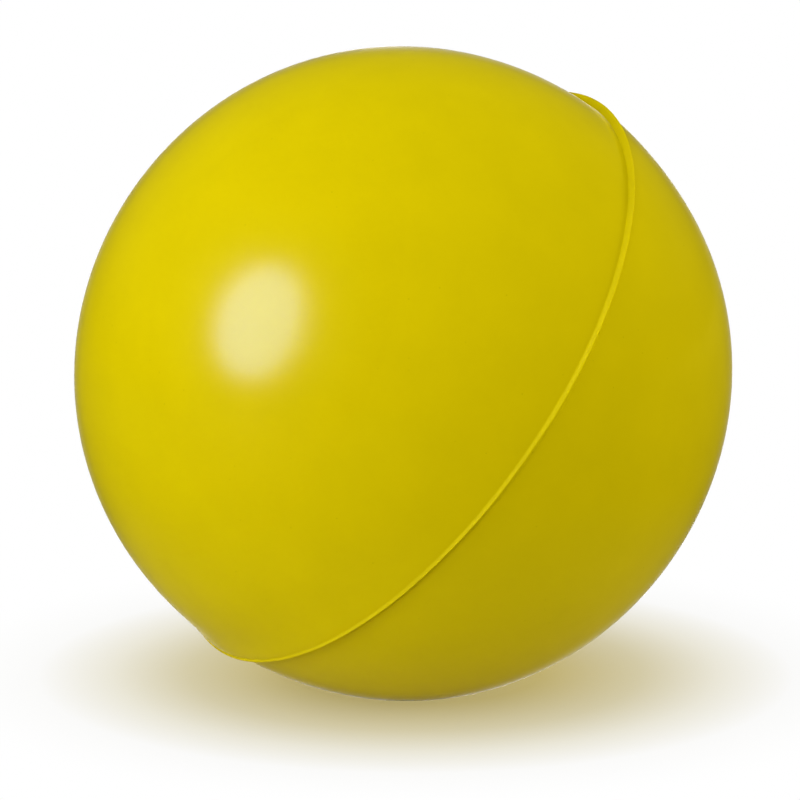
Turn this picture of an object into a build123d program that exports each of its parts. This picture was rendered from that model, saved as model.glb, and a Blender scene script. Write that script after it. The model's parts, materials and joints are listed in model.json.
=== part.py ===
from build123d import *
import os
from math import cos, radians, sin, sqrt

# An inflated dodgeball of moulded rubber, 8.5 inches across. Two half covers and the gum
# strip between their edges lie over a thread-wound bladder, and a needle valve stands at
# the pole of the back half. Sizes are in millimetres and angles in degrees.

# The ball, and the way it lies: +Z is up and the origin is the ball's centre.
BALL_DIAMETER = 216.0  # over the smooth cover, without the seam bead
VALVE_HEADING = 23.2  # where the valve points, from +X towards +Y
VALVE_DIP = 36.5  # how far the valve points below level

# Layers of the wall, from the outside in.
COVER_WALL = 1.4
WINDING_WALL = 0.35
BLADDER_WALL = 0.7
CEMENT_FILM = 0.1  # rubber cement between neighbouring pieces that are bonded

# The seam between the two half covers.
SEAM_STRIP = 0.5  # gum strip between the two edges
BEAD_HEIGHT = 2.1  # how far the strip stands proud of the cover
BEAD_WIDTH = 1.9  # across the foot of the bead
BEAD_CREST_RADIUS = 0.6

# The valve's rubber housing and the patch that it is cemented to.
PATCH_DIAMETER = 44.0
PATCH_WALL = 0.6
NECK_DIAMETER = 12.0  # the part that shows in the hole through the wall
VALVE_RECESS = 0.4  # how far the valve's face lies below the cover
FLANGE_DIAMETER = 30.0
FLANGE_WALL = 1.6  # beside the barrel
FLANGE_EDGE = 0.5  # at the rim
BARREL_DIAMETER = 10.4
BARREL_LENGTH = 17.0  # from the valve's face to the barrel's inner end

# The self-sealing core, a plug that pulls straight out of the housing.
CORE_DIAMETER = 6.0
CORE_LENGTH = 20.0
CORE_CLEARANCE = 0.05  # all round, in the housing
HEAD_DIAMETER = 8.4
HEAD_THICKNESS = 1.6
NEEDLE_BORE = 2.2
NEEDLE_DEPTH = 12.0  # from the valve's face to the end of the bore
FUNNEL_DIAMETER = 4.4
FUNNEL_DEPTH = 1.1
LIP_LENGTH = 3.6  # the flattened end that air pressure closes
LIP_THICKNESS = 1.8
SLIT_LENGTH = 3.6
SLIT_GAP = 0.25

# Radii that follow from the layers.
cover_outer = BALL_DIAMETER / 2
cover_inner = cover_outer - COVER_WALL
winding_outer = cover_inner - CEMENT_FILM
winding_inner = winding_outer - WINDING_WALL
bladder_outer = winding_inner - CEMENT_FILM
bladder_inner = bladder_outer - BLADDER_WALL
patch_outer = bladder_inner - CEMENT_FILM
patch_inner = patch_outer - PATCH_WALL
flange_seat = patch_inner - CEMENT_FILM
valve_face = cover_outer - VALVE_RECESS
port_radius = NECK_DIAMETER / 2 + CEMENT_FILM

# Heights along the valve's axis.
head_seat = valve_face - HEAD_THICKNESS
barrel_end = valve_face - BARREL_LENGTH
core_end = valve_face - CORE_LENGTH
needle_end = valve_face - NEEDLE_DEPTH

# A length that reaches past the ball from its centre, for cuts.
past_ball = BALL_DIAMETER


def bar(radius, bottom, top):
    """Profile of a round bar on the axis: from the axis out to a radius, between two heights."""
    return Pos(0, bottom) * Rectangle(radius, top - bottom, align=(Align.MIN, Align.MIN))


def layer(outer, inner):
    """Profile of a spherical wall between two radii, from pole to pole."""
    return (Circle(outer) - Circle(inner)) & bar(past_ball, -past_ball, past_ball)


def turned(profile):
    """Solid turned about the ball's axis from a profile with X outwards and Y along the axis."""
    return revolve(Plane.XZ * profile, Axis.Z)


def half_cover_front():
    """Moulded half on the side away from the valve, cut square at the seam."""
    return turned(layer(cover_outer, cover_inner) & bar(past_ball, -past_ball, -SEAM_STRIP / 2))


def half_cover_back():
    """Moulded half with the hole for the valve's neck at its pole."""
    wall = layer(cover_outer, cover_inner) & bar(past_ball, SEAM_STRIP / 2, past_ball)
    return turned(wall - bar(port_radius, 0, past_ball))


def seam_bead():
    """Gum strip that fills the joint, with the rounded bead that was squeezed out of it."""
    web = Pos(cover_inner, 0) * Rectangle(
        COVER_WALL + BEAD_HEIGHT / 2, SEAM_STRIP, align=(Align.MIN, Align.CENTER)
    )
    crest_centre = cover_outer + BEAD_HEIGHT - BEAD_CREST_RADIUS
    crest = Pos(crest_centre, 0) * Circle(BEAD_CREST_RADIUS)
    foot = Pos(cover_inner, 0) * Rectangle(COVER_WALL, BEAD_WIDTH, align=(Align.MIN, Align.CENTER))
    bead = make_hull(crest.edges() + foot.edges()) - Circle(cover_outer)
    return turned(bead + web)


def shell_with_port(outer, inner):
    """Whole spherical wall with the hole that the valve's neck passes through."""
    return turned(layer(outer, inner) - bar(port_radius, 0, past_ball))


def valve_patch():
    """Round reinforcing patch cemented inside the bladder, with a hole for the neck."""
    disc = layer(patch_outer, patch_inner) & bar(PATCH_DIAMETER / 2, 0, past_ball)
    return turned(disc - bar(port_radius, 0, past_ball))


def valve_housing():
    """Rubber body: a neck through the wall, a flange that feathers to its rim, and a barrel."""
    rim_radius = FLANGE_DIAMETER / 2
    barrel_radius = BARREL_DIAMETER / 2
    rim_height = sqrt(flange_seat**2 - rim_radius**2)
    outline = [
        (0, past_ball),
        (rim_radius, past_ball),
        (rim_radius, rim_height - FLANGE_EDGE),
        (barrel_radius, flange_seat - FLANGE_WALL),
        (0, flange_seat - FLANGE_WALL),
    ]
    flange = make_face(Polyline(*outline, close=True)) & Circle(flange_seat)
    neck = bar(NECK_DIAMETER / 2, flange_seat - FLANGE_WALL / 2, past_ball) & Circle(valve_face)
    barrel = bar(barrel_radius, barrel_end, flange_seat)
    core_hole = bar(CORE_DIAMETER / 2 + CORE_CLEARANCE, 0, past_ball)
    head_pocket = bar(HEAD_DIAMETER / 2 + CORE_CLEARANCE, head_seat, past_ball)
    return turned(flange + neck + barrel - core_hole - head_pocket)


def valve_core():
    """Plug with a head, a needle bore under a funnel, and a slit between two flattened lips."""
    head = bar(HEAD_DIAMETER / 2, head_seat, past_ball) & Circle(valve_face)
    stem = bar(CORE_DIAMETER / 2, core_end, head_seat)
    funnel_bottom = valve_face - FUNNEL_DEPTH
    mouth = [
        (0, funnel_bottom),
        (NEEDLE_BORE / 2, funnel_bottom),
        (FUNNEL_DIAMETER / 2, valve_face),
        (0, valve_face),
    ]
    funnel = make_face(Polyline(*mouth, close=True))
    bore = bar(NEEDLE_BORE / 2, needle_end, past_ball)
    plug = turned(head + stem - bore - funnel)
    lip_top = core_end + LIP_LENGTH
    taper = [
        (LIP_THICKNESS / 2, core_end),
        (CORE_DIAMETER, core_end),
        (CORE_DIAMETER, lip_top),
        (CORE_DIAMETER / 2, lip_top),
    ]
    flat = extrude(Plane.YZ * make_face(Polyline(*taper, close=True)), CORE_DIAMETER, both=True)
    slit = Pos(0, 0, core_end) * Box(
        SLIT_LENGTH,
        SLIT_GAP,
        needle_end - core_end + NEEDLE_BORE / 2,
        align=(Align.CENTER, Align.CENTER, Align.MIN),
    )
    return plug - flat - mirror(flat, Plane.XZ) - slit


heading = radians(VALVE_HEADING)
dip = radians(VALVE_DIP)
resting = Plane(
    origin=(0, 0, 0),
    x_dir=(-sin(heading), cos(heading), 0),
    z_dir=(cos(dip) * cos(heading), cos(dip) * sin(heading), -sin(dip)),
)

pieces = {
    "cover_front_half": half_cover_front(),
    "cover_back_half": half_cover_back(),
    "seam_bead": seam_bead(),
    "thread_winding": shell_with_port(winding_outer, winding_inner),
    "bladder": shell_with_port(bladder_outer, bladder_inner),
    "valve_patch": valve_patch(),
    "valve_housing": valve_housing(),
    "valve_core": valve_core(),
}

os.makedirs("parts", exist_ok=True)
for node, piece in pieces.items():
    export_step(resting * piece, f"parts/{node}.step")
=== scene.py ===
import json

import bpy
import numpy as np
from mathutils import Matrix, Vector


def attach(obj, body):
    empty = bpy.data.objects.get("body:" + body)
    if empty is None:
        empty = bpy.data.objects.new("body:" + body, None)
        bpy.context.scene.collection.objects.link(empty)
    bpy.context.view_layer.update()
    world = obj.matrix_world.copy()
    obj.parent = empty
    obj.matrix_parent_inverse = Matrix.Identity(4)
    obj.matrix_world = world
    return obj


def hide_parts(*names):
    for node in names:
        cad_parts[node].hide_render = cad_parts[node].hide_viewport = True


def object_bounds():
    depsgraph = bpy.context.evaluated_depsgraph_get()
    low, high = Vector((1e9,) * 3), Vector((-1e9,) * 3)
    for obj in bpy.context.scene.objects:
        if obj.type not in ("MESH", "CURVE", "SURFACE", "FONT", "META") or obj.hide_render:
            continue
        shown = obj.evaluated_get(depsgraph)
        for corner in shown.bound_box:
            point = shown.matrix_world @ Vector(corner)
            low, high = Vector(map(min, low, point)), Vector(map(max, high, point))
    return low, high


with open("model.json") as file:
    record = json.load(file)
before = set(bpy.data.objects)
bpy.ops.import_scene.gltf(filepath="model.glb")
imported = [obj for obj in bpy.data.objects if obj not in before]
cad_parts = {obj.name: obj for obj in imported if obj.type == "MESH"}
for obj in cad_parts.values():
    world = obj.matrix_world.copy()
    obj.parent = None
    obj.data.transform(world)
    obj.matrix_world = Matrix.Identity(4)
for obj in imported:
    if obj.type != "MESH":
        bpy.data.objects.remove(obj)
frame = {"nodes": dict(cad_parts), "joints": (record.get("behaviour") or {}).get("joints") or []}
cad_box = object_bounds()

# Camera. It stands well back with a long lens, a little above the ball, as for a catalogue
# picture, and it aims just below the ball's centre to leave room for the shadow.
ball_radius = (cad_box[1].z - cad_box[0].z) / 2
CAMERA_DISTANCE = 18 * ball_radius
CAMERA_RISE = np.radians(12)
CAMERA_LENS = 265.2  # mm
CAMERA_SENSOR = 36  # mm
AIM_BELOW = 0.00878  # from the ball's centre, down the picture
AIM_LEFT = 0.00113

camera_back = Vector((0, -np.cos(CAMERA_RISE), np.sin(CAMERA_RISE)))
camera_up = Vector((0, np.sin(CAMERA_RISE), np.cos(CAMERA_RISE)))
camera_aim = -AIM_BELOW * camera_up - Vector((AIM_LEFT, 0, 0))
camera = bpy.data.objects.new("camera", bpy.data.cameras.new("camera"))
camera.data.lens = CAMERA_LENS
camera.data.sensor_width = CAMERA_SENSOR
camera.location = camera_aim + CAMERA_DISTANCE * camera_back
camera.rotation_euler = camera_back.to_track_quat("Z", "Y").to_euler()
bpy.context.scene.collection.objects.link(camera)
bpy.context.scene.camera = camera
bpy.context.scene.view_settings.view_transform = "Standard"

# Half covers. Two bowls of yellow natural rubber, pressed in a polished mould and cured over
# the wound bladder. They met a little out of line, and the winding leaves them not quite round.
COVER_WALL = 0.0014
SEAM_STRIP = 0.0005  # gum between the two edges
HALF_SLIP = 0.00075  # how far the back half stands up the seam from the front half
FOUR_LOBES = 0.00028  # height of the lobes
FOUR_LOBES_TURN = np.radians(78)  # where the first one stands
THREE_LOBES = 0.00014
THREE_LOBES_TURN = np.radians(-42)
FRONT = -1  # the half on the side away from the valve
BACK = 1
RIM_FLARE = {FRONT: 0.0012, BACK: 0.0008}  # swelling at the seam, on the side a half slipped to
RIM_FLARE_WIDTH = {FRONT: 0.007, BACK: 0.02}
PORT_RADIUS = 0.0061  # hole for the valve's neck
PORT_ROUND = 0.0005  # at the hole's lip
COVER_TURNS = 400  # points round the axis
SKIN_RINGS = 120
LINING_RINGS = 50
LIP_RINGS = 8
SHARP_EDGE = np.radians(40)  # an edge that turns by more than this is shaded sharp
COVER_YELLOW = (0.64, 0.52, 0.0, 1)
COVER_MOTTLE = 0.02  # share by which the colour drifts
COVER_SPECKS = 0.12  # share by which a speck is darker
COVER_ROUGHNESS = 0.17
COVER_SCUFF = 0.04  # how much rougher a scuffed patch is
COVER_PEEL = 3.0  # height of the orange peel in micrometres
COVER_WAVE = 10.0  # height of the slow wave in micrometres
COVER_BLOOM = 0.6  # waxy bloom on the rubber, a pale sheen at a slant
COVER_BLOOM_SPREAD = 0.13
CLOUDS_PER_METRE = 48.0
SPECK_CELLS_PER_METRE = 620.0
SCUFFS_PER_METRE = 27.0
PEEL_PER_METRE = 900.0
WAVES_PER_METRE = 130.0
MICROMETRE = 1e-6

valve_axis = np.array(frame["joints"][0]["axis"])
seam_level = np.cross((0, 0, 1), valve_axis)
seam_level /= np.linalg.norm(seam_level)
seam_rise = np.cross(valve_axis, seam_level)


def on_axis(level, rise, along):
    """Points from their distances along the seam's level, the seam's rise and the valve's axis."""
    level, rise, along = (part[..., None] for part in np.broadcast_arrays(level, rise, along))
    return level * seam_level + rise * seam_rise + along * valve_axis


def around_axis(out, along, turn):
    """Points at a distance out from the valve's axis and a height along it, at an angle turned
    round it: out times (cos turn, sin turn) on the seam's level and rise, and along on the axis."""
    return on_axis(out * np.cos(turn), out * np.sin(turn), along)


def cover_skin(direction, half):
    """Outside of a half in unit directions: the radius plus four and three shallow lobes about
    the Y axis, cosines of 4 and 3 times the angle in the XZ plane that fade as the fourth power
    of the distance from Y, and a bell exp(-(height / width)^2) of the height over the seam, which
    fades as the square of the way from one end of the seam's rise to the other. Half the slip
    along the rise comes last."""
    x, z = direction[..., 0], direction[..., 2]
    angle = np.arctan2(-z, x)
    lobes = FOUR_LOBES * np.cos(4 * (angle - FOUR_LOBES_TURN))
    lobes += THREE_LOBES * np.cos(3 * (angle - THREE_LOBES_TURN))
    reach = ball_radius + lobes * np.hypot(x, z) ** 4
    flare = np.exp(-((direction @ valve_axis * ball_radius / RIM_FLARE_WIDTH[half]) ** 2))
    reach += RIM_FLARE[half] * flare * ((1 + half * direction @ seam_rise) / 2) ** 2
    return direction * reach[..., None] + half * HALF_SLIP / 2 * seam_rise


def ring_mesh(name, rings, closed):
    """Piece over a stack of rings, an array of rings by points by xyz, with a quad between each
    two neighbours both ways. A closed stack joins its last ring to its first. In an open one
    the end rings are single points, and the ends are fans of triangles."""
    body = rings if closed else rings[1:-1]
    count, points = body.shape[:2]
    ring = np.arange(count if closed else count - 1)[:, None] * points
    point = np.arange(points)[None, :]
    after = (point + 1) % points
    above = (ring + points) % (count * points)
    quads = np.stack([ring + point, ring + after, above + after, above + point], -1)
    faces = quads.reshape(-1, 4).tolist()
    corners = body.reshape(-1, 3)
    if not closed:
        start, end = len(corners), len(corners) + 1
        corners = np.concatenate([corners, rings[0, :1], rings[-1, :1]])
        last = (count - 1) * points
        faces += np.stack([0 * point + start, after, point], -1)[0].tolist()
        faces += np.stack([last + point, last + after, 0 * point + end], -1)[0].tolist()
    mesh = bpy.data.meshes.new(name)
    mesh.from_pydata(corners.tolist(), [], faces)
    mesh.shade_smooth()
    mesh.set_sharp_from_angle(angle=SHARP_EDGE)
    piece = bpy.data.objects.new(name, mesh)
    bpy.context.scene.collection.objects.link(piece)
    return piece


def cover_rings(half):
    """Rings of a half cover: on the back half a quarter circle up the lip of the valve's hole,
    then along the skin from the pole to the seam, and back inside at an even radius."""
    turn = -half * np.linspace(0, 2 * np.pi, COVER_TURNS, endpoint=False)
    inner_radius = ball_radius - COVER_WALL
    seam_angle = np.arccos(SEAM_STRIP / 2 / ball_radius)
    pole_angle = np.arcsin((PORT_RADIUS + PORT_ROUND) / ball_radius) if half == BACK else 0
    lining_end = np.arcsin(PORT_RADIUS / inner_radius) if half == BACK else 0
    angle = np.linspace(pole_angle, seam_angle, SKIN_RINGS)[:, None]
    skin = cover_skin(around_axis(np.sin(angle), half * np.cos(angle), turn), half)
    angle = np.linspace(seam_angle, lining_end, LINING_RINGS)[:, None]
    lining = around_axis(inner_radius * np.sin(angle), half * inner_radius * np.cos(angle), turn)
    if half == FRONT:
        return np.concatenate([skin, lining])
    round_angle = np.linspace(0, np.pi / 2, LIP_RINGS)[:-1, None]
    lip_out = PORT_RADIUS + PORT_ROUND * (1 - np.cos(round_angle))
    lip_along = skin[0] @ valve_axis - PORT_ROUND * (1 - np.sin(round_angle))
    return np.concatenate([around_axis(lip_out, lip_along, turn), skin, lining])


def link(tree, source, output, target, socket):
    """Joins an output of one node to an input of another."""
    tree.links.new(source.outputs[output], target.inputs[socket])


def node(tree, kind, **settings):
    """Node of a kind. A setting that names one of its inputs sets that, and others set the node."""
    made = tree.nodes.new(kind)
    for name, value in settings.items():
        if hasattr(made, name):
            setattr(made, name, value)
        else:
            made.inputs[name.replace("_", " ")].default_value = value
    return made


def group_tree(name, inputs, outputs):
    """Shader node group with named sockets, and the nodes that stand for its two ends."""
    tree = bpy.data.node_groups.new(name, "ShaderNodeTree")
    for socket, kind in inputs:
        tree.interface.new_socket(socket, in_out="INPUT", socket_type=kind)
    for socket, kind in outputs:
        tree.interface.new_socket(socket, in_out="OUTPUT", socket_type=kind)
    return tree, tree.nodes.new("NodeGroupInput"), tree.nodes.new("NodeGroupOutput")


def moulded_rubber_group():
    """Look of moulded rubber over its points: a colour that drifts by a share in clouds 20 mm
    across, with dark pigment specks in a few cells 1.6 mm apart, a roughness with dull scuffed
    patches, and a height in micrometres of fine orange peel on a slow wave."""
    inputs = [
        ("Point", "NodeSocketVector"),
        ("Colour", "NodeSocketColor"),
        ("Mottle", "NodeSocketFloat"),
        ("Specks", "NodeSocketFloat"),
        ("Polish", "NodeSocketFloat"),
        ("Scuff", "NodeSocketFloat"),
        ("Peel", "NodeSocketFloat"),
        ("Wave", "NodeSocketFloat"),
    ]
    outputs = [
        ("Colour", "NodeSocketColor"),
        ("Roughness", "NodeSocketFloat"),
        ("Height", "NodeSocketFloat"),
    ]
    tree, given, made = group_tree("moulded_rubber", inputs, outputs)

    clouds = node(tree, "ShaderNodeTexNoise", Scale=CLOUDS_PER_METRE, Detail=3.0, Roughness=0.55)
    drift = node(tree, "ShaderNodeMath", operation="MULTIPLY_ADD")
    drift.inputs[2].default_value = 1.0
    centred = node(tree, "ShaderNodeMapRange", From_Min=0.3, From_Max=0.7, To_Min=-1.0, To_Max=1.0)
    link(tree, given, "Point", clouds, "Vector")
    link(tree, clouds, 0, centred, "Value")
    link(tree, centred, 0, drift, 0)
    link(tree, given, "Mottle", drift, 1)

    cells = node(tree, "ShaderNodeTexVoronoi", Scale=SPECK_CELLS_PER_METRE)
    dot = node(tree, "ShaderNodeMapRange", From_Min=0.1, From_Max=0.22, To_Min=1.0, To_Max=0.0)
    chosen = node(tree, "ShaderNodeMapRange", From_Min=0.98, From_Max=0.99)
    chance = node(tree, "ShaderNodeSeparateColor")
    speck = node(tree, "ShaderNodeMath", operation="MULTIPLY")
    speck_depth = node(tree, "ShaderNodeMath", operation="MULTIPLY")
    speck_left = node(tree, "ShaderNodeMath", operation="SUBTRACT")
    speck_left.inputs[0].default_value = 1.0
    link(tree, given, "Point", cells, "Vector")
    link(tree, cells, "Distance", dot, "Value")
    link(tree, cells, "Color", chance, 0)
    link(tree, chance, 0, chosen, "Value")
    link(tree, dot, 0, speck, 0)
    link(tree, chosen, 0, speck, 1)
    link(tree, speck, 0, speck_depth, 0)
    link(tree, given, "Specks", speck_depth, 1)
    link(tree, speck_depth, 0, speck_left, 1)

    tint = node(tree, "ShaderNodeMath", operation="MULTIPLY")
    shade = node(tree, "ShaderNodeVectorMath", operation="SCALE")
    link(tree, drift, 0, tint, 0)
    link(tree, speck_left, 0, tint, 1)
    link(tree, given, "Colour", shade, 0)
    link(tree, tint, 0, shade, "Scale")
    link(tree, shade, 0, made, "Colour")

    patches = node(tree, "ShaderNodeTexNoise", Scale=SCUFFS_PER_METRE, Detail=6.0, Roughness=0.62)
    dull = node(tree, "ShaderNodeMapRange", From_Min=0.48, From_Max=0.72)
    rough = node(tree, "ShaderNodeMath", operation="MULTIPLY_ADD")
    link(tree, given, "Point", patches, "Vector")
    link(tree, patches, 0, dull, "Value")
    link(tree, dull, 0, rough, 0)
    link(tree, given, "Scuff", rough, 1)
    link(tree, given, "Polish", rough, 2)
    link(tree, rough, 0, made, "Roughness")

    peel = node(tree, "ShaderNodeTexNoise", Scale=PEEL_PER_METRE, Detail=2.0, Roughness=0.5)
    wave = node(tree, "ShaderNodeTexNoise", Scale=WAVES_PER_METRE, Detail=1.0, Roughness=0.4)
    peel_height = node(tree, "ShaderNodeMath", operation="MULTIPLY")
    height = node(tree, "ShaderNodeMath", operation="MULTIPLY_ADD")
    link(tree, given, "Point", peel, "Vector")
    link(tree, given, "Point", wave, "Vector")
    link(tree, peel, 0, peel_height, 0)
    link(tree, given, "Peel", peel_height, 1)
    link(tree, wave, 0, height, 0)
    link(tree, given, "Wave", height, 1)
    link(tree, peel_height, 0, height, 2)
    link(tree, height, 0, made, "Height")
    return tree


moulded_rubber = moulded_rubber_group()


def rubber_material(name, colour, mottle, specks, polish, scuff, peel, wave, **shader):
    """Material of moulded rubber: the group's colour and roughness on a Principled BSDF, its
    height in micrometres through a Bump node, and the shader's own settings."""
    material = bpy.data.materials.new(name)
    material.use_nodes = True
    tree = material.node_tree
    surface = tree.nodes["Principled BSDF"]
    for socket, value in shader.items():
        surface.inputs[socket.replace("_", " ")].default_value = value
    place = node(tree, "ShaderNodeTexCoord")
    look = node(tree, "ShaderNodeGroup", node_tree=moulded_rubber)
    settings = {
        "Colour": colour,
        "Mottle": mottle,
        "Specks": specks,
        "Polish": polish,
        "Scuff": scuff,
        "Peel": peel,
        "Wave": wave,
    }
    for socket, value in settings.items():
        look.inputs[socket].default_value = value
    relief = node(tree, "ShaderNodeBump", Strength=1.0, Distance=MICROMETRE)
    link(tree, place, "Object", look, "Point")
    link(tree, look, "Colour", surface, "Base Color")
    link(tree, look, "Roughness", surface, "Roughness")
    link(tree, look, "Height", relief, "Height")
    link(tree, relief, "Normal", surface, "Normal")
    return material


cover_rubber = rubber_material(
    "cover_rubber",
    COVER_YELLOW,
    COVER_MOTTLE,
    COVER_SPECKS,
    COVER_ROUGHNESS,
    COVER_SCUFF,
    COVER_PEEL,
    COVER_WAVE,
    IOR=1.3,
    Diffuse_Roughness=0.5,
    Sheen_Weight=COVER_BLOOM,
    Sheen_Roughness=COVER_BLOOM_SPREAD,
)
front_cover = ring_mesh("front_cover", cover_rings(FRONT), closed=False)
back_cover = ring_mesh("back_cover", cover_rings(BACK), closed=True)
for cover, cad_node in ((front_cover, "cover_front_half"), (back_cover, "cover_back_half")):
    cover.data.materials.append(cover_rubber)
    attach(cover, "ball")
    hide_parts(cad_node)

# Seam bead. A strip of raw gum rubber laid between the two edges, which the press squeezes out
# into a narrow rounded ridge all the way round. It wanders a little and isn't trimmed.
BEAD_HEIGHT = 0.0011
BEAD_HALF_WIDTH = 0.00058  # where it has fallen to a third of its height
BEAD_SQUARENESS = 2.2
BEAD_FOOT = 0.0018  # how far the foot runs out on each side
BEAD_SINK = 0.00003  # the foot's edge lies this far under the cover's skin
BEAD_WANDER = 0.00008
BEAD_TALLER = 0.45  # share by which it stands taller at the top and lower at the bottom
BEAD_THINNER = 0.3  # share by which it is lower half way between
BEAD_RIPPLE = 0.04
WANDER_WAVES = ((0.5, 17, 0.4), (0.3, 41, 2.1), (0.2, 83, 4.4))  # share, waves in a turn, phase
RIPPLE_WAVES = ((0.5, 11, 1.3), (0.3, 37, 0.2), (0.2, 97, 3.0))
BEAD_TURNS = 900  # points round the ball
BEAD_RINGS = 41
GUM_YELLOW = (0.64, 0.52, 0.0, 1)


def bead_rings():
    """Rings of the bead, one for each place across it. The foot follows each half's skin, a tanh
    of the place steps from one to the other, and the ridge stands height times exp(-|place / half
    width|^squareness) above that, less what is left of it at the foot. Sines of the turn make it
    wander and swell, and it is narrower by as much as it is taller. Two more rings close it down
    through the joint."""
    turn = np.linspace(0, 2 * np.pi, BEAD_TURNS, endpoint=False)
    place = np.linspace(-BEAD_FOOT, BEAD_FOOT, BEAD_RINGS)[:, None]
    lean = place / ball_radius
    across = around_axis(np.cos(lean), np.sin(lean), turn)
    skins = [cover_skin(across, half) for half in (FRONT, BACK)]
    foot_front, foot_back = (np.hypot(skin @ seam_level, skin @ seam_rise) for skin in skins)
    wander = sum(share * np.sin(waves * turn + phase) for share, waves, phase in WANDER_WAVES)
    ripple = sum(share * np.sin(waves * turn + phase) for share, waves, phase in RIPPLE_WAVES)
    swell = BEAD_TALLER * np.sin(turn) - BEAD_THINNER * np.cos(2 * turn) + BEAD_RIPPLE * ripple
    step = (1 + np.tanh(place / (BEAD_HALF_WIDTH / 2))) / 2
    base = foot_front + (foot_back - foot_front) * step
    ridge = np.exp(-np.abs(place * (1 + swell) / BEAD_HALF_WIDTH) ** BEAD_SQUARENESS)
    ridge = (ridge - ridge[0]) / (1 - ridge[0])
    out = base + BEAD_HEIGHT * (1 + swell) * ridge - BEAD_SINK
    along = place + BEAD_WANDER * wander * ridge
    root = np.full((2, turn.size), ball_radius - COVER_WALL)
    root_along = np.array([[SEAM_STRIP / 2], [-SEAM_STRIP / 2]]) + 0 * turn
    return around_axis(np.concatenate([out, root]), np.concatenate([along, root_along]), turn)


seam_gum = rubber_material(
    "seam_gum",
    GUM_YELLOW,
    mottle=0.03,
    specks=0.2,
    polish=0.7,
    scuff=0.08,
    peel=4.0,
    wave=10.0,
    IOR=1.2,
)
gum_bead = ring_mesh("gum_bead", bead_rings(), closed=True)
gum_bead.data.materials.append(seam_gum)
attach(gum_bead, "ball")
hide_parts("seam_bead")

# Inner layers. Nylon thread is wound over the bladder in rubber cement, the bladder is black butyl
# dusted with talc, and a disc of rubberised cloth is cemented inside it round the valve's hole.
THREAD_SPACING = 0.0009
THREAD_WHITE = (0.72, 0.68, 0.57, 1)
CEMENT_AMBER = (0.3, 0.19, 0.06, 1)
THREAD_RELIEF = 0.00012
THREAD_WOBBLE = 1.5
THREAD_TURNS = [(0.3, 0.2, 0.9), (1.4, 0.5, -0.4), (-0.7, 1.1, 0.6)]  # the way each family runs
CLOTH_SPACING = 0.0007
CLOTH_GREY = (0.16, 0.16, 0.15, 1)
CLOTH_GAP = (0.03, 0.03, 0.03, 1)
CLOTH_RELIEF = 0.0001
CLOTH_WOBBLE = 0.4
GAP_STOP = 0.35  # height below which the gap's colour shows
THREAD_STOP = 0.8  # height above which the thread's colour shows
THREAD_ROUGHNESS = 0.6
WAVE_RADIANS = 20  # that the wave texture turns through in one unit
BUTYL_BLACK = (0.022, 0.022, 0.024, 1)


def thread_lines_group():
    """Parallel threads over a point: a sine of the point's X with one crest for each spacing,
    pushed aside by noise, from 0 between two threads to 1 on top of one."""
    inputs = [
        ("Point", "NodeSocketVector"),
        ("Spacing", "NodeSocketFloat"),
        ("Wobble", "NodeSocketFloat"),
    ]
    tree, given, made = group_tree("thread_lines", inputs, [("Height", "NodeSocketFloat")])
    scale = node(tree, "ShaderNodeMath", operation="DIVIDE")
    scale.inputs[0].default_value = 2 * np.pi / WAVE_RADIANS
    wave = node(tree, "ShaderNodeTexWave", Detail=1.0, Detail_Scale=0.3)
    link(tree, given, "Point", wave, "Vector")
    link(tree, given, "Spacing", scale, 1)
    link(tree, scale, 0, wave, "Scale")
    link(tree, given, "Wobble", wave, "Distortion")
    link(tree, wave, "Fac", made, "Height")
    return tree


thread_lines = thread_lines_group()


def thread_material(name, turns, spacing, wobble, gap, thread, relief):
    """Material of crossing threads, one family for each turn of the pattern. The highest family
    at a point shows: its height blends the gap's colour into the thread's and gives the relief."""
    material = bpy.data.materials.new(name)
    material.use_nodes = True
    tree = material.node_tree
    surface = tree.nodes["Principled BSDF"]
    surface.inputs["Roughness"].default_value = THREAD_ROUGHNESS
    place = node(tree, "ShaderNodeTexCoord")
    top = None
    for turn in turns:
        turned = node(tree, "ShaderNodeMapping", Rotation=turn)
        lines = node(tree, "ShaderNodeGroup", node_tree=thread_lines)
        lines.inputs["Spacing"].default_value = spacing
        lines.inputs["Wobble"].default_value = wobble
        link(tree, place, "Object", turned, "Vector")
        link(tree, turned, 0, lines, "Point")
        if top is None:
            top = lines
            continue
        higher = node(tree, "ShaderNodeMath", operation="MAXIMUM")
        link(tree, top, 0, higher, 0)
        link(tree, lines, 0, higher, 1)
        top = higher
    colour = node(tree, "ShaderNodeValToRGB")
    colour.color_ramp.elements[0].position = GAP_STOP
    colour.color_ramp.elements[0].color = gap
    colour.color_ramp.elements[1].position = THREAD_STOP
    colour.color_ramp.elements[1].color = thread
    bump = node(tree, "ShaderNodeBump", Strength=1.0, Distance=relief)
    link(tree, top, 0, colour, 0)
    link(tree, colour, 0, surface, "Base Color")
    link(tree, top, 0, bump, "Height")
    link(tree, bump, "Normal", surface, "Normal")
    return material


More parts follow.
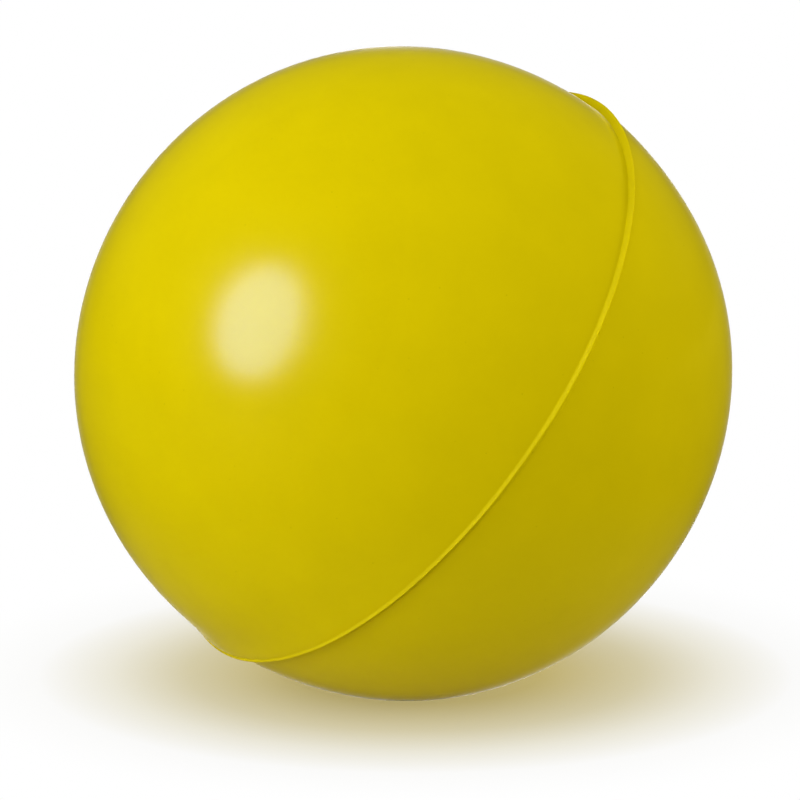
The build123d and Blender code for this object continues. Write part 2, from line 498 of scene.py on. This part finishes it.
to_valve = Matrix((seam_level, seam_rise, valve_axis)).to_euler()
to_valve_crossed = Matrix((seam_rise, -seam_level, valve_axis)).to_euler()
winding_thread = thread_material(
    "winding_thread",
    THREAD_TURNS,
    THREAD_SPACING,
    THREAD_WOBBLE,
    CEMENT_AMBER,
    THREAD_WHITE,
    THREAD_RELIEF,
)
patch_cloth = thread_material(
    "patch_cloth",
    [to_valve, to_valve_crossed],
    CLOTH_SPACING,
    CLOTH_WOBBLE,
    CLOTH_GAP,
    CLOTH_GREY,
    CLOTH_RELIEF,
)
bladder_butyl = rubber_material(
    "bladder_butyl",
    BUTYL_BLACK,
    mottle=0.6,
    specks=0.0,
    polish=0.45,
    scuff=0.3,
    peel=6.0,
    wave=30.0,
)
inner_layers = {
    "thread_winding": winding_thread,
    "bladder": bladder_butyl,
    "valve_patch": patch_cloth,
}
for layer, layer_material in inner_layers.items():
    for layer_slot in frame["nodes"][layer].material_slots:
        layer_slot.material = layer_material

# Valve body. A moulding of black rubber: its neck shows in the cover's hole, its flange is cemented
# to the patch inside the bladder, and its barrel grips the plug.
VALVE_RECESS = 0.0004  # how far its face lies below the cover's skin
NECK_RADIUS = 0.006
FLANGE_DEPTH = 0.00345  # how far the flange's seat lies below the cover's skin
FLANGE_RADIUS = 0.015
FLANGE_WALL = 0.0016
FLANGE_EDGE = 0.0005
FLANGE_MIDDLE = 0.7 * FLANGE_RADIUS  # where the outline has a corner on the flange's curve
BARREL_RADIUS = 0.0052
BARREL_LENGTH = 0.017
PLUG_HOLE_RADIUS = 0.00305
POCKET_RADIUS = 0.00425  # seat of the plug's head
POCKET_DEPTH = 0.0016
BODY_CUTS = (  # how far each corner of the outline is cut back, in the outline's order
    *(0.0003, 0.0005, 0.0012, 0.00015, 0.00015, 0.001),
    *(0.00006, 0.0004, 0.00025, 0.0001, 0.00025),
)
CURVE_POINTS = 7  # on a rounded corner
FLAT_POINT = 1.5  # cuts from the corner to the first point on the flat beside it
VALVE_TURNS = 128  # points round the axis
VALVE_BLACK = (0.03, 0.03, 0.031, 1)

valve_face = ball_radius - VALVE_RECESS
flange_seat = ball_radius - FLANGE_DEPTH


def dome(radius, out):
    """Height along the axis of a sphere about the ball's centre, at a distance from the axis."""
    return np.sqrt(radius**2 - out**2)


def rounded_outline(corners, cuts):
    """Closed outline round corners. Each corner is cut back along both its sides and bridged by
    (1 - t)^2 start + 2 t (1 - t) corner + t^2 end, with one more point beyond each end of that
    curve, half a cut away, which keeps the flats flat."""
    corners = np.array(corners)
    cuts = np.array(cuts)[:, None]
    back = np.roll(corners, 1, 0) - corners
    ahead = np.roll(corners, -1, 0) - corners
    back *= cuts / np.linalg.norm(back, axis=1, keepdims=True)
    ahead *= cuts / np.linalg.norm(ahead, axis=1, keepdims=True)
    t = np.linspace(0, 1, CURVE_POINTS)[:, None, None]
    curve = corners + (1 - t) ** 2 * back + t**2 * ahead
    points = np.concatenate([[corners + FLAT_POINT * back], curve, [corners + FLAT_POINT * ahead]])
    return points.transpose(1, 0, 2).reshape(-1, corners.shape[1])


def valve_body_rings():
    """Rings of the valve body: its outline, from the barrel's end out over the flange, up the
    neck and down the pocket and the plug's hole, turned about the axis."""
    outline = rounded_outline(
        [
            (PLUG_HOLE_RADIUS, valve_face - BARREL_LENGTH),
            (BARREL_RADIUS, valve_face - BARREL_LENGTH),
            (BARREL_RADIUS, flange_seat - FLANGE_WALL),
            (FLANGE_RADIUS, dome(flange_seat, FLANGE_RADIUS) - FLANGE_EDGE),
            (FLANGE_RADIUS, dome(flange_seat, FLANGE_RADIUS)),
            (FLANGE_MIDDLE, dome(flange_seat, FLANGE_MIDDLE)),
            (NECK_RADIUS, dome(flange_seat, NECK_RADIUS)),
            (NECK_RADIUS, dome(valve_face, NECK_RADIUS)),
            (POCKET_RADIUS, dome(valve_face, POCKET_RADIUS)),
            (POCKET_RADIUS, valve_face - POCKET_DEPTH),
            (PLUG_HOLE_RADIUS, valve_face - POCKET_DEPTH),
        ],
        BODY_CUTS,
    )
    turn = np.linspace(0, 2 * np.pi, VALVE_TURNS, endpoint=False)
    return around_axis(outline[:, :1], outline[:, 1:], turn)


valve_rubber = rubber_material(
    "valve_rubber",
    VALVE_BLACK,
    mottle=0.18,
    specks=0.3,
    polish=0.42,
    scuff=0.2,
    peel=7.0,
    wave=12.0,
    IOR=1.5,
)
valve_body = ring_mesh("valve_body", valve_body_rings(), closed=True)
valve_body.data.materials.append(valve_rubber)
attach(valve_body, "ball")
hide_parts("valve_housing")

# Valve plug. A stopper of softer dark rubber, wetted and pushed into the body. A pump's needle goes
# in at its funnel, and air pressure shuts the two flattened lips at its inner end.
PLUG_HEAD_RADIUS = 0.0042
PLUG_RADIUS = 0.003
PLUG_LENGTH = 0.02
BORE_RADIUS = 0.0011
BORE_DEPTH = 0.012
FUNNEL_RADIUS = 0.0022
FUNNEL_DEPTH = 0.0011
LIP_LENGTH = 0.0036
LIP_HALF = 0.0009  # half the thickness of the lips at their end
SLIT_HALF_LENGTH = 0.0018
SLIT_HALF_GAP = 0.000125
ROUND_FLAT = 0.012  # a flat this far out leaves a ring round
LIP_START_FLAT = 0.0033
PRESS_POWER = 6  # how squarely the flats meet the round sides
PLUG_CUTS = (0.00015, 0.0003, 0.00045, 0.0004, 0.0002, 0.0002, 0.0008, 0.0003, 0.0001, 0.0001)
PLUG_GREY = (0.05, 0.047, 0.044, 1)


def plug_rings():
    """Rings of the plug, from the bore out over the head, down the stem and the lips and back up
    the slit. A ring is a circle of radius out whose second coordinate is pressed between two
    flats: t / (1 + (t / flat)^power)^(1/power) with t = out times the sine of the turn."""
    plug_end = valve_face - PLUG_LENGTH
    bore_end = valve_face - BORE_DEPTH
    funnel_end = valve_face - FUNNEL_DEPTH
    head_seat = valve_face - POCKET_DEPTH
    outline = rounded_outline(
        [
            (BORE_RADIUS, bore_end, ROUND_FLAT),
            (BORE_RADIUS, funnel_end, ROUND_FLAT),
            (FUNNEL_RADIUS, dome(valve_face, FUNNEL_RADIUS), ROUND_FLAT),
            (PLUG_HEAD_RADIUS, dome(valve_face, PLUG_HEAD_RADIUS), ROUND_FLAT),
            (PLUG_HEAD_RADIUS, head_seat, ROUND_FLAT),
            (PLUG_RADIUS, head_seat, ROUND_FLAT),
            (PLUG_RADIUS, plug_end + LIP_LENGTH, LIP_START_FLAT),
            (PLUG_RADIUS, plug_end, LIP_HALF),
            (SLIT_HALF_LENGTH, plug_end, SLIT_HALF_GAP),
            (SLIT_HALF_LENGTH, bore_end, SLIT_HALF_GAP),
        ],
        PLUG_CUTS,
    )
    out, along, flat = (column[:, None] for column in outline.T)
    turn = -np.linspace(0, 2 * np.pi, VALVE_TURNS, endpoint=False)
    rise = out * np.sin(turn)
    pressed = rise / (1 + (rise / flat) ** PRESS_POWER) ** (1 / PRESS_POWER)
    return on_axis(out * np.cos(turn), pressed, along)


plug_rubber = rubber_material(
    "plug_rubber",
    PLUG_GREY,
    mottle=0.15,
    specks=0.2,
    polish=0.36,
    scuff=0.15,
    peel=5.0,
    wave=8.0,
    IOR=1.5,
)
valve_plug = ring_mesh("valve_plug", plug_rings(), closed=True)
valve_plug.data.materials.append(plug_rubber)
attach(valve_plug, "core")
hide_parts("valve_core")

# Floor. A wide sweep of white paper. Near the ball the camera sees its real soft shadow mixed with
# a painted shadow and painted yellow bounce light in the paper's glow, and away from it the paper
# is burnt out to white, as in a catalogue picture.
FLOOR_RADIUS = 30.0
FLOOR_TURNS = 96  # points round the disc
FLOOR_RINGS = 24
FLOOR_FIRST_RING = 0.05
SWEEP_START = 12.0  # the paper is level out to here
SWEEP_RISE = 3.4  # how high its edge stands
PAINTED_BOUNCE_PAPER = (0.52, 0.46, 0.14, 1)  # painted yellow bounce light from the ball, in the paper's own colour
PAPER_FAR = (0.14, 0.125, 0.02, 1)
PAPER_FADE = 0.22  # distance at which the far colour is reached
PAPER_NEAR_STOP = 0.25  # share of that distance at which the near colour ends
PAPER_ROUGHNESS = 0.9
PAPER_SPECULAR = 0.1
SHADOW_REACH = 0.17
SHADOW_MIDDLE = (0.004, 0.025, 0)  # middle of the painted shadow, moved away from the key light
SHADOW_LIFT = 0.65  # share of the burnt-out paper's glow in the middle of the painted shadow
PAINTED_SHADOW_HEART = (0.6, 0.5, 0.21, 1)  # painted shadow, tinted with painted yellow bounce light from the ball
PAINTED_SHADOW_SKIRT = (0.73, 0.67, 0.47, 1)
PAINTED_SHADOW_EDGE = (0.893, 0.868, 0.77, 1)
SHADOW_STOPS = (0.25, 0.45, 0.6, 0.75)  # shares of the reach for heart, skirt, edge and white
MIRROR_INNER = 3.0  # beyond this the ball's gloss begins to show the burnt-out paper
MIRROR_OUTER = 9.0
MIRROR_WHITE = 0.02  # share of white that the gloss shows there


def floor_disc(name):
    """Disc under the ball, level out to where its edge sweeps up as the square of the way beyond,
    on rings whose radius grows by an even ratio."""
    turn = np.linspace(0, 2 * np.pi, FLOOR_TURNS, endpoint=False)
    grown = np.geomspace(FLOOR_FIRST_RING, FLOOR_RADIUS, FLOOR_RINGS)
    radius = np.concatenate([[0], grown])[:, None]
    beyond = np.maximum(radius - SWEEP_START, 0) / (FLOOR_RADIUS - SWEEP_START)
    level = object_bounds()[0].z + SWEEP_RISE * beyond**2 + 0 * turn
    rings = np.stack([radius * np.cos(turn), radius * np.sin(turn), level], -1)
    count = rings.shape[1]
    point = np.arange(count)
    after = (point + 1) % count
    ring = np.arange(rings.shape[0] - 2)[:, None] * count + 1
    quads = np.stack([ring + point, ring + count + point, ring + count + after, ring + after], -1)
    fan = np.stack([0 * point, 1 + point, 1 + after], -1)
    corners = np.concatenate([rings[0, :1], rings[1:].reshape(-1, 3)])
    mesh = bpy.data.meshes.new(name)
    mesh.from_pydata(corners.tolist(), [], quads.reshape(-1, 4).tolist() + fan.tolist())
    disc = bpy.data.objects.new(name, mesh)
    bpy.context.scene.collection.objects.link(disc)
    return disc


paper = bpy.data.materials.new("floor_paper")
paper.use_nodes = True
paper_tree = paper.node_tree
paper_surface = paper_tree.nodes["Principled BSDF"]
paper_surface.inputs["Roughness"].default_value = PAPER_ROUGHNESS
paper_surface.inputs["Specular IOR Level"].default_value = PAPER_SPECULAR
paper_place = node(paper_tree, "ShaderNodeTexCoord")
paper_distance = node(paper_tree, "ShaderNodeVectorMath", operation="LENGTH")
paper_flat = node(paper_tree, "ShaderNodeVectorMath", operation="MULTIPLY")
paper_flat.inputs[1].default_value = (1, 1, 0)
paper_around = node(paper_tree, "ShaderNodeVectorMath", operation="DISTANCE")
paper_around.inputs[1].default_value = SHADOW_MIDDLE
paper_white = node(
    paper_tree,
    "ShaderNodeMapRange",
    interpolation_type="SMOOTHSTEP",
    From_Min=0.0,
    From_Max=SHADOW_REACH,
    To_Min=SHADOW_LIFT,
)
heart_stop, skirt_stop, edge_stop, white_stop = SHADOW_STOPS
# painted shadow: the glow's colour runs from a dark yellow heart to white with the distance from the
# shadow's middle
painted_shadow_ramp = node(paper_tree, "ShaderNodeValToRGB")
painted_shadow_ramp.color_ramp.elements[0].position = heart_stop
painted_shadow_ramp.color_ramp.elements[0].color = PAINTED_SHADOW_HEART
painted_shadow_ramp.color_ramp.elements.new(skirt_stop).color = PAINTED_SHADOW_SKIRT
painted_shadow_ramp.color_ramp.elements.new(edge_stop).color = PAINTED_SHADOW_EDGE
painted_shadow_ramp.color_ramp.elements[-1].position = white_stop
# paper's colour: painted yellow bounce light near the ball, dark and yellowish far off
paper_colour_and_painted_bounce = node(paper_tree, "ShaderNodeValToRGB")
paper_colour_and_painted_bounce.color_ramp.elements[0].position = PAPER_NEAR_STOP
paper_colour_and_painted_bounce.color_ramp.elements[0].color = PAINTED_BOUNCE_PAPER
paper_colour_and_painted_bounce.color_ramp.elements[1].color = PAPER_FAR
paper_reach = node(paper_tree, "ShaderNodeMath", operation="DIVIDE")
paper_reach.inputs[1].default_value = PAPER_FADE
paper_spread = node(paper_tree, "ShaderNodeMath", operation="DIVIDE")
paper_spread.inputs[1].default_value = SHADOW_REACH
paper_far = node(
    paper_tree,
    "ShaderNodeMapRange",
    interpolation_type="SMOOTHSTEP",
    From_Min=MIRROR_INNER,
    From_Max=MIRROR_OUTER,
    To_Max=MIRROR_WHITE,
)
paper_ray = node(paper_tree, "ShaderNodeLightPath")
paper_mirrored = node(paper_tree, "ShaderNodeMath", operation="ADD", use_clamp=True)
paper_mirrored_share = node(paper_tree, "ShaderNodeMath", operation="MULTIPLY")
paper_share = node(paper_tree, "ShaderNodeMath", operation="MULTIPLY_ADD", use_clamp=True)
# glow that the camera sees: white far off, and the painted shadow near the ball
white_and_painted_shadow_glow = node(paper_tree, "ShaderNodeEmission", Strength=1.0)
paper_mix = node(paper_tree, "ShaderNodeMixShader")
link(paper_tree, paper_place, "Object", paper_flat, 0)
link(paper_tree, paper_flat, 0, paper_distance, 0)
link(paper_tree, paper_flat, 0, paper_around, 0)
link(paper_tree, paper_around, "Value", paper_white, "Value")
link(paper_tree, paper_distance, "Value", paper_far, "Value")
link(paper_tree, paper_around, "Value", paper_spread, 0)
link(paper_tree, paper_spread, 0, painted_shadow_ramp, 0)
link(paper_tree, paper_distance, "Value", paper_reach, 0)
link(paper_tree, paper_reach, 0, paper_colour_and_painted_bounce, 0)
link(paper_tree, paper_colour_and_painted_bounce, 0, paper_surface, "Base Color")
link(paper_tree, painted_shadow_ramp, 0, white_and_painted_shadow_glow, "Color")
link(paper_tree, paper_ray, "Is Glossy Ray", paper_mirrored, 0)
link(paper_tree, paper_ray, "Is Transmission Ray", paper_mirrored, 1)
link(paper_tree, paper_mirrored, 0, paper_mirrored_share, 0)
link(paper_tree, paper_far, 0, paper_mirrored_share, 1)
link(paper_tree, paper_ray, "Is Camera Ray", paper_share, 0)
link(paper_tree, paper_white, 0, paper_share, 1)
link(paper_tree, paper_mirrored_share, 0, paper_share, 2)
link(paper_tree, paper_share, 0, paper_mix, 0)
link(paper_tree, paper_surface, 0, paper_mix, 1)
link(paper_tree, white_and_painted_shadow_glow, 0, paper_mix, 2)
link(paper_tree, paper_mix, 0, paper_tree.nodes["Material Output"], "Surface")
floor = floor_disc("floor")
floor.data.materials.append(paper)

# Studio light. A round softbox at the left of the camera, with a bluish lamp just in front of it
# that lights the gloss alone, and wide cloth scrims overhead and all round that stay out of the
# gloss. The room beyond them is dim, and to the camera its backdrop is white.
KEY_SIDE = (-0.749, -0.533, 0.393)  # the way from the ball to the softbox
KEY_DISTANCE = 1.3
KEY_SIZE = 0.9
KEY_POWER = 7.4
CATCH_DISTANCE = 1.29
CATCH_WIDTH = 0.66
CATCH_HEIGHT = 0.74
CATCH_POWER = 16.4
CATCH_COLOUR = (0.3, 0.53, 1.0)
DAYLIGHT = (0.98, 1.0, 1.02)
WARM_LIGHT = (1.0, 0.94, 0.86)
SCRIM_DISTANCE = 2.6
SCRIM_WIDTH = 2.4
SCRIM_HEIGHT = 2.0
LOW_SCRIM_HEIGHT = 0.5
SCRIMS = {  # the way to each, its height, power and colour
    "scrim_top": ((0.0, 0.0, 1.0), SCRIM_HEIGHT, 12.0, DAYLIGHT),
    "scrim_front": ((0.0, -1.0, 0.42), SCRIM_HEIGHT, 28.5, DAYLIGHT),
    "scrim_front_left": ((-1.0, -0.9, 0.5), SCRIM_HEIGHT, 4.5, DAYLIGHT),
    "scrim_left": ((-1.0, -0.1, 0.42), SCRIM_HEIGHT, 6.0, DAYLIGHT),
    "scrim_high_left": ((-1.0, -0.3, 1.2), SCRIM_HEIGHT, 7.5, DAYLIGHT),
    "scrim_back": ((0.0, 1.0, 0.42), SCRIM_HEIGHT, 42.5, WARM_LIGHT),
    "scrim_back_right": ((1.0, 0.7, 0.4), SCRIM_HEIGHT, 22.0, DAYLIGHT),
    "scrim_low_front": ((0.0, -1.0, 0.1), LOW_SCRIM_HEIGHT, 15.0, WARM_LIGHT),
    "scrim_low_left": ((-1.0, -0.5, 0.1), LOW_SCRIM_HEIGHT, 2.4, DAYLIGHT),
    "scrim_low_right": ((1.0, 0.3, 0.15), LOW_SCRIM_HEIGHT, 46.5, WARM_LIGHT),
}
ROOM_COLOUR = (1, 0.97, 0.15, 1)
ROOM_STRENGTH = 0.1
BACKDROP_WHITE = (1, 1, 1, 1)


def softbox(name, toward, distance, width, height, power, shape):
    """Area lamp at a distance from the ball in a direction, facing the ball."""
    lamp = bpy.data.lights.new(name, "AREA")
    lamp.shape = shape
    lamp.size = width
    lamp.size_y = height
    lamp.energy = power
    place = bpy.data.objects.new(name, lamp)
    place.location = Vector(toward).normalized() * distance
    place.rotation_euler = Vector(toward).to_track_quat("Z", "Y").to_euler()
    place.visible_camera = False
    bpy.context.scene.collection.objects.link(place)
    return place


softbox("key", KEY_SIDE, KEY_DISTANCE, KEY_SIZE, KEY_SIZE, KEY_POWER, "DISK")
catch = softbox("catch", KEY_SIDE, CATCH_DISTANCE, CATCH_WIDTH, CATCH_HEIGHT, CATCH_POWER, "ELLIPSE")
catch.data.color = CATCH_COLOUR
catch.visible_diffuse = False
for scrim_name, (scrim_side, scrim_height, scrim_power, scrim_colour) in SCRIMS.items():
    scrim = softbox(
        scrim_name, scrim_side, SCRIM_DISTANCE, SCRIM_WIDTH, scrim_height, scrim_power, "RECTANGLE"
    )
    scrim.data.color = scrim_colour
    scrim.visible_glossy = False
    scrim.data.cycles.use_multiple_importance_sampling = False
room = bpy.data.worlds.new("room")
bpy.context.scene.world = room
room.use_nodes = True
room_tree = room.node_tree
room_dim = room_tree.nodes["Background"]
room_dim.inputs["Color"].default_value = ROOM_COLOUR
room_dim.inputs["Strength"].default_value = ROOM_STRENGTH
room_white = node(room_tree, "ShaderNodeBackground", Color=BACKDROP_WHITE, Strength=1.0)
room_ray = node(room_tree, "ShaderNodeLightPath")
room_mirrored = node(room_tree, "ShaderNodeMath", operation="ADD", use_clamp=True)
room_share = node(room_tree, "ShaderNodeMath", operation="MULTIPLY_ADD", use_clamp=True)
room_share.inputs[1].default_value = MIRROR_WHITE
room_mix = node(room_tree, "ShaderNodeMixShader")
link(room_tree, room_ray, "Is Glossy Ray", room_mirrored, 0)
link(room_tree, room_ray, "Is Transmission Ray", room_mirrored, 1)
link(room_tree, room_mirrored, 0, room_share, 0)
link(room_tree, room_ray, "Is Camera Ray", room_share, 2)
link(room_tree, room_share, 0, room_mix, 0)
link(room_tree, room_dim, 0, room_mix, 1)
link(room_tree, room_white, 0, room_mix, 2)
link(room_tree, room_mix, 0, room_tree.nodes["World Output"], "Surface")
